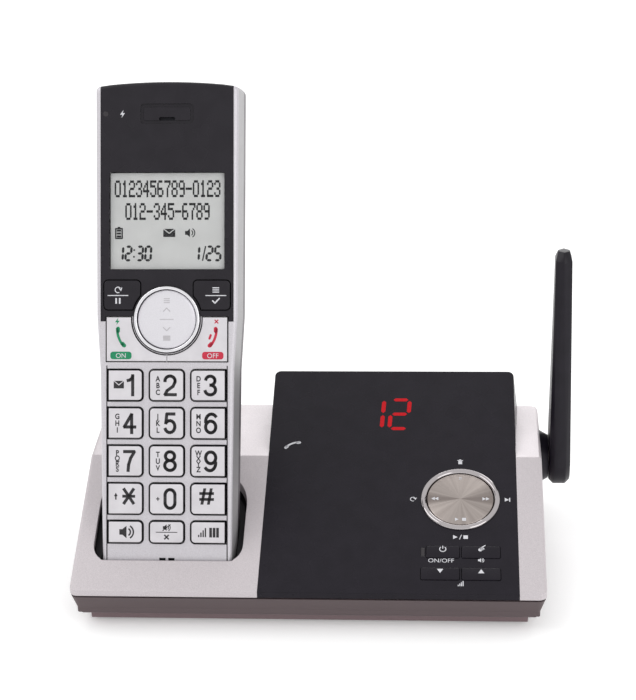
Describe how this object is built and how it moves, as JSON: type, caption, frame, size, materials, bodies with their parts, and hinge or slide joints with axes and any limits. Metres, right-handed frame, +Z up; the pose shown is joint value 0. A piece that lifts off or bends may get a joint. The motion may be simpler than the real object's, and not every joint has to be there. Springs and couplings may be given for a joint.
{
  "type": "cordless telephone with answering base",
  "caption": "Slim cordless handset standing in a wedge-shaped answering base with a folding side antenna, keypad, display and round four-way key discs.",
  "frame": {"origin": "bottom centre of the whole set's bounding box, on the desk", "axes": "+X across the base to the antenna's side, +Y to the rear wall, +Z up; the handset leans back towards +Y"},
  "size_m": [0.1666, 0.0964, 0.165],
  "materials": {
    "silver_deck": "satin silver paint on plastic",
    "black_panel": "smooth black",
    "dark_skirt": "fine matte",
    "foot_rubber": "matte",
    "screw_steel": "plain",
    "well_black": "matte",
    "contact_metal": "plated",
    "board_green": "varnished",
    "mat_rubber": "matte",
    "speaker_metal": "plain",
    "display_red": "tinted",
    "chrome_trim": "polished",
    "disc_metal": "brushed",
    "light_smoke": "translucent",
    "antenna_black": "fine matte",
    "handset_silver": "satin silver paint on plastic",
    "handset_dark": "fine matte",
    "fascia_black": "polished",
    "lens_clear": "polished",
    "lcd_grey": "satin",
    "key_pearl": "satin",
    "battery_wrap": "shrink wrap"
  },
  "bodies": {
    "base": {"base_top_housing": "silver_deck", "base_faceplate": "black_panel", "base_bottom_housing": "dark_skirt", "base_feet": "foot_rubber", "base_screws": "screw_steel", "cradle_well": "well_black", "charge_contacts": "contact_metal", "base_board": "board_green", "base_keymat": "mat_rubber", "base_speaker": "speaker_metal", "message_display": "display_red", "message_ring": "chrome_trim", "answer_light": "light_smoke", "antenna_socket": "antenna_black", "line_jack": "well_black", "power_jack": "well_black"},
    "handset": {"handset_front_housing": "handset_silver", "handset_rear_housing": "handset_dark", "battery_pack": "battery_wrap", "handset_fascia": "fascia_black", "lcd_window": "lens_clear", "lcd_module": "lcd_grey", "receiver": "speaker_metal", "microphone": "speaker_metal", "ringer_speaker": "speaker_metal", "charge_light": "light_smoke", "handset_board": "board_green", "handset_keymat": "mat_rubber", "handset_contacts": "contact_metal", "handset_screws": "screw_steel", "nav_ring": "chrome_trim"},
    "antenna": {"antenna": "antenna_black", "antenna_pin": "screw_steel"},
    "battery_cover": {"battery_cover": "handset_dark"},
    "nav_disc": {"nav_disc": "disc_metal"},
    "message_disc": {"message_disc": "disc_metal"},
    "redial_key": {"redial_key": "fascia_black"},
    "menu_key": {"menu_key": "fascia_black"},
    "phone_key": {"phone_key": "key_pearl"},
    "off_key": {"off_key": "key_pearl"},
    "key_1": {"key_1": "key_pearl"},
    "key_2": {"key_2": "key_pearl"},
    "key_3": {"key_3": "key_pearl"},
    "key_4": {"key_4": "key_pearl"},
    "key_5": {"key_5": "key_pearl"},
    "key_6": {"key_6": "key_pearl"},
    "key_7": {"key_7": "key_pearl"},
    "key_8": {"key_8": "key_pearl"},
    "key_9": {"key_9": "key_pearl"},
    "key_star": {"key_star": "key_pearl"},
    "key_0": {"key_0": "key_pearl"},
    "key_pound": {"key_pound": "key_pearl"},
    "key_speaker": {"key_speaker": "key_pearl"},
    "key_mute": {"key_mute": "key_pearl"},
    "key_equalizer": {"key_equalizer": "key_pearl"},
    "answer_key": {"answer_key": "black_panel"},
    "find_key": {"find_key": "black_panel"},
    "volume_down_key": {"volume_down_key": "black_panel"},
    "volume_up_key": {"volume_up_key": "black_panel"}
  },
  "joints": [
    {"name": "handset_lift", "type": "slide", "parent": "base", "child": "handset", "axis": [0, 0.3795, 0.9252], "range_m": [0, 0.06]},
    {"name": "antenna_fold", "type": "hinge", "parent": "base", "child": "antenna", "pos_m": [0.076, 0.0268, 0.0277], "axis": [1, 0, 0], "range_deg": [-90, 90]},
    {"name": "battery_cover_slide", "type": "slide", "parent": "handset", "child": "battery_cover", "axis": [0, -0.3795, -0.9252], "range_m": [0, 0.008]},
    {"name": "nav_disc_tilt", "type": "hinge", "parent": "handset", "child": "nav_disc", "pos_m": [-0.0523, -0.00396, 0.09271], "axis": [1, 0, 0], "range_deg": [-3, 3], "stiffness_Nm_per_rad": 0.06},
    {"name": "message_disc_tilt", "type": "hinge", "parent": "base", "child": "message_disc", "pos_m": [0.0448, -0.0108, 0.02908], "axis": [1, 0, 0], "range_deg": [-3, 3], "stiffness_Nm_per_rad": 0.06},
    {"name": "redial_key_press", "type": "slide", "parent": "handset", "child": "redial_key", "axis": [0, 0.9252, -0.3795], "range_m": [0, 0.0008], "stiffness_N_per_m": 300},
    {"name": "menu_key_press", "type": "slide", "parent": "handset", "child": "menu_key", "axis": [0, 0.9252, -0.3795], "range_m": [0, 0.0008], "stiffness_N_per_m": 300},
    {"name": "phone_key_press", "type": "slide", "parent": "handset", "child": "phone_key", "axis": [0, 0.9252, -0.3795], "range_m": [0, 0.0008], "stiffness_N_per_m": 300},
    {"name": "off_key_press", "type": "slide", "parent": "handset", "child": "off_key", "axis": [0, 0.9252, -0.3795], "range_m": [0, 0.0008], "stiffness_N_per_m": 300},
    {"name": "key_1_press", "type": "slide", "parent": "handset", "child": "key_1", "axis": [0, 0.9252, -0.3795], "range_m": [0, 0.0008], "stiffness_N_per_m": 300},
    {"name": "key_2_press", "type": "slide", "parent": "handset", "child": "key_2", "axis": [0, 0.9252, -0.3795], "range_m": [0, 0.0008], "stiffness_N_per_m": 300},
    {"name": "key_3_press", "type": "slide", "parent": "handset", "child": "key_3", "axis": [0, 0.9252, -0.3795], "range_m": [0, 0.0008], "stiffness_N_per_m": 300},
    {"name": "key_4_press", "type": "slide", "parent": "handset", "child": "key_4", "axis": [0, 0.9252, -0.3795], "range_m": [0, 0.0008], "stiffness_N_per_m": 300},
    {"name": "key_5_press", "type": "slide", "parent": "handset", "child": "key_5", "axis": [0, 0.9252, -0.3795], "range_m": [0, 0.0008], "stiffness_N_per_m": 300},
    {"name": "key_6_press", "type": "slide", "parent": "handset", "child": "key_6", "axis": [0, 0.9252, -0.3795], "range_m": [0, 0.0008], "stiffness_N_per_m": 300},
    {"name": "key_7_press", "type": "slide", "parent": "handset", "child": "key_7", "axis": [0, 0.9252, -0.3795], "range_m": [0, 0.0008], "stiffness_N_per_m": 300},
    {"name": "key_8_press", "type": "slide", "parent": "handset", "child": "key_8", "axis": [0, 0.9252, -0.3795], "range_m": [0, 0.0008], "stiffness_N_per_m": 300},
    {"name": "key_9_press", "type": "slide", "parent": "handset", "child": "key_9", "axis": [0, 0.9252, -0.3795], "range_m": [0, 0.0008], "stiffness_N_per_m": 300},
    {"name": "key_star_press", "type": "slide", "parent": "handset", "child": "key_star", "axis": [0, 0.9252, -0.3795], "range_m": [0, 0.0008], "stiffness_N_per_m": 300},
    {"name": "key_0_press", "type": "slide", "parent": "handset", "child": "key_0", "axis": [0, 0.9252, -0.3795], "range_m": [0, 0.0008], "stiffness_N_per_m": 300},
    {"name": "key_pound_press", "type": "slide", "parent": "handset", "child": "key_pound", "axis": [0, 0.9252, -0.3795], "range_m": [0, 0.0008], "stiffness_N_per_m": 300},
    {"name": "key_speaker_press", "type": "slide", "parent": "handset", "child": "key_speaker", "axis": [0, 0.9252, -0.3795], "range_m": [0, 0.0008], "stiffness_N_per_m": 300},
    {"name": "key_mute_press", "type": "slide", "parent": "handset", "child": "key_mute", "axis": [0, 0.9252, -0.3795], "range_m": [0, 0.0008], "stiffness_N_per_m": 300},
    {"name": "key_equalizer_press", "type": "slide", "parent": "handset", "child": "key_equalizer", "axis": [0, 0.9252, -0.3795], "range_m": [0, 0.0008], "stiffness_N_per_m": 300},
    {"name": "answer_key_press", "type": "slide", "parent": "base", "child": "answer_key", "axis": [0, 0.3795, -0.9252], "range_m": [0, 0.0008], "stiffness_N_per_m": 300},
    {"name": "find_key_press", "type": "slide", "parent": "base", "child": "find_key", "axis": [0, 0.3795, -0.9252], "range_m": [0, 0.0008], "stiffness_N_per_m": 300},
    {"name": "volume_down_key_press", "type": "slide", "parent": "base", "child": "volume_down_key", "axis": [0, 0.3795, -0.9252], "range_m": [0, 0.0008], "stiffness_N_per_m": 300},
    {"name": "volume_up_key_press", "type": "slide", "parent": "base", "child": "volume_up_key", "axis": [0, 0.3795, -0.9252], "range_m": [0, 0.0008], "stiffness_N_per_m": 300}
  ]
}
